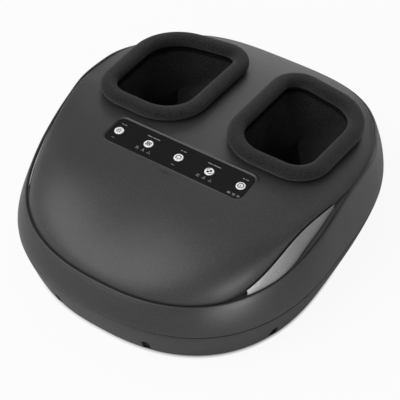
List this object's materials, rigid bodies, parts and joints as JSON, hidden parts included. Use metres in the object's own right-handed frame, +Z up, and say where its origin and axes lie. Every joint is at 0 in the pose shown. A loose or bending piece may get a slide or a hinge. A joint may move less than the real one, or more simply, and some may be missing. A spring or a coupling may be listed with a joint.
{
  "type": "foot massager",
  "caption": "Low domed foot massager with two padded foot wells, a slim key panel, silver side trims and a geared kneading drive under the soles.",
  "frame": {"origin": "middle of the footprint at floor level, under the rubber feet", "axes": "+Z up, +X to the right seen from the user's end, toes point to -Y, the user sits at +Y"},
  "size_m": [0.3786, 0.4285, 0.1537],
  "materials": {
    "base_plastic": "fine textured, satin",
    "band_plastic": "fine textured, satin",
    "cover_plastic": "fine textured, satin",
    "trim_silver": "satin silver paint on plastic",
    "panel_gloss": "polished",
    "key_white": "satin",
    "cuff_fabric": "knitted, padded",
    "liner_fabric": "brushed knit",
    "tub_plastic": "matte",
    "heater_film": "film",
    "bag_film": "film",
    "board_green": "solder mask",
    "power_board_green": "solder mask",
    "gear_pom": "moulded",
    "pinion_steel": "machined",
    "head_plastic": "moulded",
    "axle_steel": "turned",
    "plate_steel": "stamped",
    "bridge_steel": "stamped",
    "motor_zinc": "plated",
    "pump_plastic": "moulded",
    "valve_plastic": "moulded",
    "hose_rubber": "extruded",
    "inlet_plastic": "moulded",
    "foot_rubber": "matte",
    "screw_steel": "zinc plated"
  },
  "bodies": {
    "housing": {"air_bag_left": "bag_film", "air_bag_right": "bag_film", "air_hose": "hose_rubber", "air_pump": "pump_plastic", "air_valve": "valve_plastic", "axle_heel_left": "axle_steel", "axle_heel_right": "axle_steel", "axle_idler_left": "axle_steel", "axle_idler_right": "axle_steel", "axle_toe_left": "axle_steel", "axle_toe_right": "axle_steel", "base_tray": "base_plastic", "control_board": "board_green", "control_panel": "panel_gloss", "cuff_left": "cuff_fabric", "cuff_right": "cuff_fabric", "dc_inlet": "inlet_plastic", "foot_back_left": "foot_rubber", "foot_back_right": "foot_rubber", "foot_toe_left": "foot_rubber", "foot_toe_right": "foot_rubber", "foot_tub_left": "tub_plastic", "foot_tub_right": "tub_plastic", "gear_motor": "motor_zinc", "gear_plate": "plate_steel", "heater_pad_left": "heater_film", "heater_pad_right": "heater_film", "liner_left": "liner_fabric", "liner_right": "liner_fabric", "motor_bridge": "bridge_steel", "power_board": "power_board_green", "screw_back_left": "screw_steel", "screw_back_right": "screw_steel", "screw_side_left": "screw_steel", "screw_side_right": "screw_steel", "screw_toe_left": "screw_steel", "screw_toe_right": "screw_steel", "side_band": "band_plastic", "top_cover": "cover_plastic", "trim_left": "trim_silver", "trim_right": "trim_silver"},
    "key_heat": {"key_heat": "key_white"},
    "key_air": {"key_air": "key_white"},
    "key_power": {"key_power": "key_white"},
    "key_knead": {"key_knead": "key_white"},
    "key_timer": {"key_timer": "key_white"},
    "drive": {"drive_pinion": "pinion_steel"},
    "idler_left": {"idler_gear_left": "gear_pom"},
    "idler_right": {"idler_gear_right": "gear_pom"},
    "kneader_toe_left": {"kneader_gear_toe_left": "gear_pom", "kneader_head_toe_left": "head_plastic"},
    "kneader_heel_left": {"kneader_gear_heel_left": "gear_pom", "kneader_head_heel_left": "head_plastic"},
    "kneader_toe_right": {"kneader_gear_toe_right": "gear_pom", "kneader_head_toe_right": "head_plastic"},
    "kneader_heel_right": {"kneader_gear_heel_right": "gear_pom", "kneader_head_heel_right": "head_plastic"}
  },
  "joints": [
    {"name": "key_heat_press", "type": "slide", "parent": "housing", "child": "key_heat", "axis": [0, -0.0454, 0.999], "range_m": [-0.0006, 0], "stiffness_N_per_m": 800},
    {"name": "key_air_press", "type": "slide", "parent": "housing", "child": "key_air", "axis": [0, -0.0454, 0.999], "range_m": [-0.0006, 0], "stiffness_N_per_m": 800},
    {"name": "key_power_press", "type": "slide", "parent": "housing", "child": "key_power", "axis": [0, -0.0454, 0.999], "range_m": [-0.0006, 0], "stiffness_N_per_m": 800},
    {"name": "key_knead_press", "type": "slide", "parent": "housing", "child": "key_knead", "axis": [0, -0.0454, 0.999], "range_m": [-0.0006, 0], "stiffness_N_per_m": 800},
    {"name": "key_timer_press", "type": "slide", "parent": "housing", "child": "key_timer", "axis": [0, -0.0454, 0.999], "range_m": [-0.0006, 0], "stiffness_N_per_m": 800},
    {"name": "kneader_toe_right_spin", "type": "hinge", "parent": "housing", "child": "kneader_toe_right", "pos_m": [0.0875, -0.05, 0.016], "axis": [0, 0, 1], "continuous": true},
    {"name": "kneader_heel_right_spin", "type": "hinge", "parent": "housing", "child": "kneader_heel_right", "pos_m": [0.0875, 0.01, 0.016], "axis": [0, 0, 1], "continuous": true},
    {"name": "idler_right_spin", "type": "hinge", "parent": "housing", "child": "idler_right", "pos_m": [0.035, -0.05, 0.016], "axis": [0, 0, 1], "continuous": true},
    {"name": "drive_spin", "type": "hinge", "parent": "housing", "child": "drive", "pos_m": [0, -0.05, 0.016], "axis": [0, 0, 1], "continuous": true},
    {"name": "idler_left_spin", "type": "hinge", "parent": "housing", "child": "idler_left", "pos_m": [-0.035, -0.05, 0.016], "axis": [0, 0, 1], "continuous": true},
    {"name": "kneader_toe_left_spin", "type": "hinge", "parent": "housing", "child": "kneader_toe_left", "pos_m": [-0.0875, -0.05, 0.016], "axis": [0, 0, 1], "continuous": true},
    {"name": "kneader_heel_left_spin", "type": "hinge", "parent": "housing", "child": "kneader_heel_left", "pos_m": [-0.0875, 0.01, 0.016], "axis": [0, 0, 1], "continuous": true}
  ],
  "couplings": [
    {"joint": "kneader_heel_right_spin", "follows": "kneader_toe_right_spin", "ratio": -1},
    {"joint": "idler_right_spin", "follows": "kneader_toe_right_spin", "ratio": -1.3333},
    {"joint": "drive_spin", "follows": "kneader_toe_right_spin", "ratio": 2.4},
    {"joint": "idler_left_spin", "follows": "kneader_toe_right_spin", "ratio": -1.3333},
    {"joint": "kneader_toe_left_spin", "follows": "kneader_toe_right_spin", "ratio": 1},
    {"joint": "kneader_heel_left_spin", "follows": "kneader_toe_right_spin", "ratio": -1}
  ]
}
